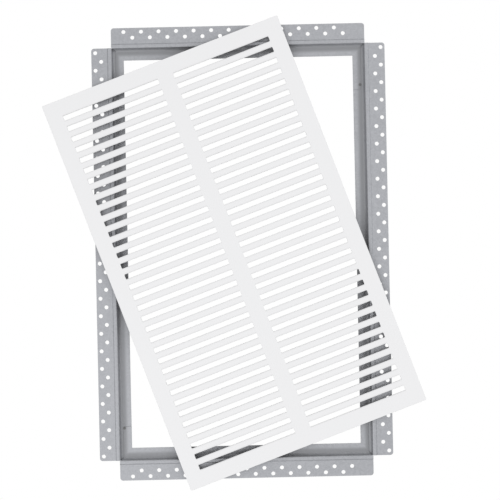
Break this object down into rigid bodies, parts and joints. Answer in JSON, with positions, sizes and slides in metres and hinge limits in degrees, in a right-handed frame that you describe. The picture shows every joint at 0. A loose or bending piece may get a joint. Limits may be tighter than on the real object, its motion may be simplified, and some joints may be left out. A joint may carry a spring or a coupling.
{
  "type": "air return vent",
  "caption": "Flush return air vent: a folded steel frame with perforated plaster flanges and a recessed ledge, and a white slotted cover with magnets, lying turned on the frame.",
  "frame": {"origin": "middle of the frame, on the back face of its perforated flange, which is the face of the wall", "axes": "+Z out of the wall towards the room, +Y along the vent's long side, X across it"},
  "size_m": [0.599, 0.7508, 0.0175],
  "materials": {
    "frame_steel": "plain zinc-coated sheet, matt",
    "cover_paint": "white powder coat, satin",
    "magnet_nickel": "nickel plate"
  },
  "bodies": {
    "root": {"long_rail_right": "frame_steel", "long_rail_left": "frame_steel", "short_rail_top": "frame_steel", "short_rail_bottom": "frame_steel", "cover": "cover_paint", "magnet_1": "magnet_nickel", "magnet_2": "magnet_nickel", "magnet_3": "magnet_nickel", "magnet_4": "magnet_nickel", "magnet_5": "magnet_nickel", "magnet_6": "magnet_nickel", "magnet_7": "magnet_nickel", "magnet_8": "magnet_nickel", "magnet_9": "magnet_nickel", "magnet_10": "magnet_nickel", "magnet_11": "magnet_nickel", "magnet_12": "magnet_nickel", "magnet_13": "magnet_nickel", "magnet_14": "magnet_nickel", "magnet_15": "magnet_nickel", "magnet_16": "magnet_nickel", "magnet_17": "magnet_nickel", "magnet_18": "magnet_nickel"}
  },
  "joints": []
}
